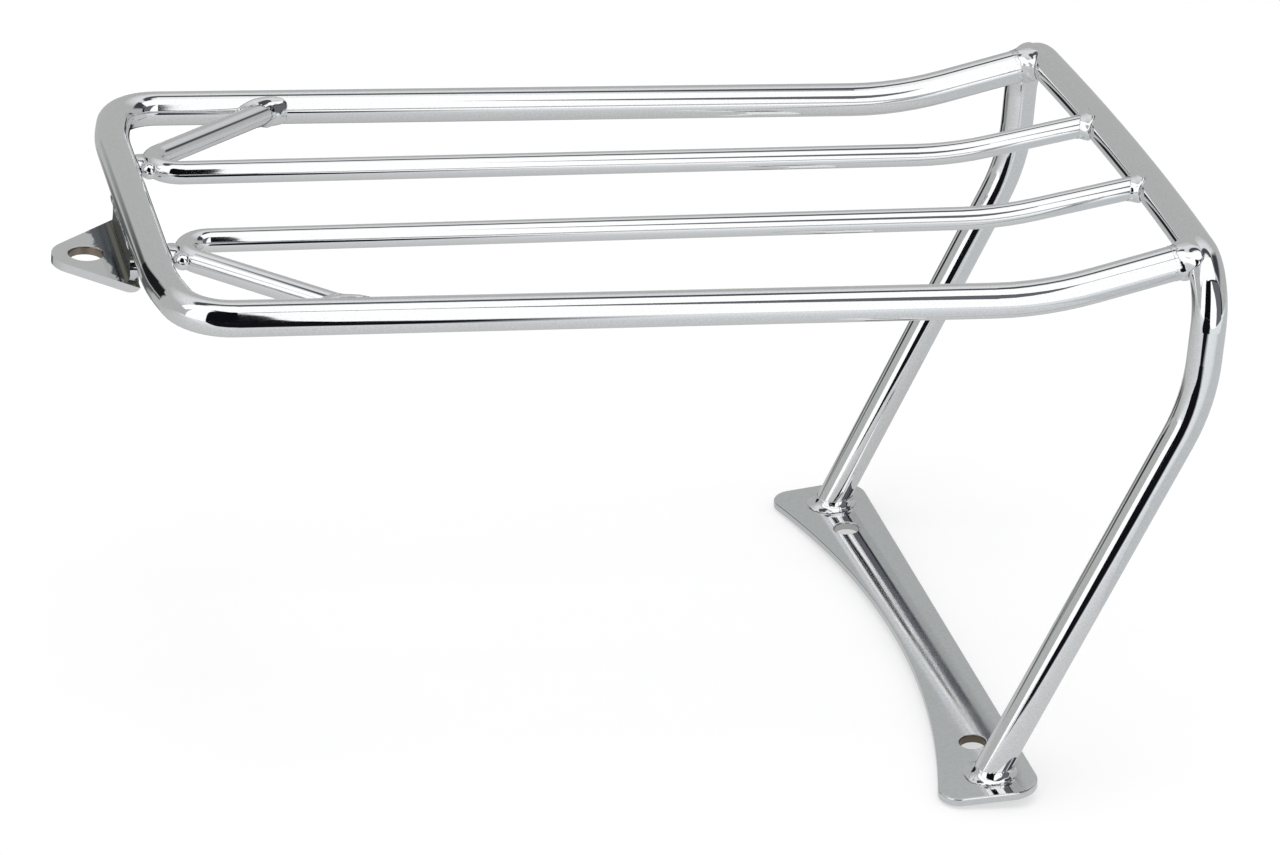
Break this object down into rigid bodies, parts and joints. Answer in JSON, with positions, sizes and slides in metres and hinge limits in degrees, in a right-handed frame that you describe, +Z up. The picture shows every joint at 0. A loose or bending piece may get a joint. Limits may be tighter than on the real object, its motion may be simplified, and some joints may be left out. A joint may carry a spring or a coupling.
{
  "type": "motorcycle luggage rack",
  "caption": "Chrome-plated round-bar luggage deck with a bent rear hoop of legs, a flat base plate and a folded front tab, to bolt on a rear fender.",
  "frame": {"origin": "centre of the front tab's bolt hole, half way through the tab", "axes": "+X to the rear of the machine, +Z up, so that +Y is the machine's right side"},
  "size_m": [0.3824, 0.2372, 0.1991],
  "materials": {
    "bright_bar": "mirror-bright decorative chrome on bent round bar",
    "bright_plate": "bright decorative chrome on cut plate, a little softer than the bars",
    "weld_metal": "bright chrome over uneven weld beads"
  },
  "bodies": {
    "root": {"front_hoop": "bright_bar", "rear_loop": "bright_bar", "inner_rod_left": "bright_bar", "inner_rod_right": "bright_bar", "front_tab": "bright_plate", "base_plate": "bright_plate", "rail_weld_left": "weld_metal", "rail_weld_right": "weld_metal", "rod_weld_left": "weld_metal", "rod_weld_right": "weld_metal", "diagonal_weld_left": "weld_metal", "diagonal_weld_right": "weld_metal", "hairpin_weld_left": "weld_metal", "hairpin_weld_right": "weld_metal", "leg_weld_left": "weld_metal", "leg_weld_right": "weld_metal", "tab_weld_front": "weld_metal", "tab_weld_rear": "weld_metal"}
  },
  "joints": []
}
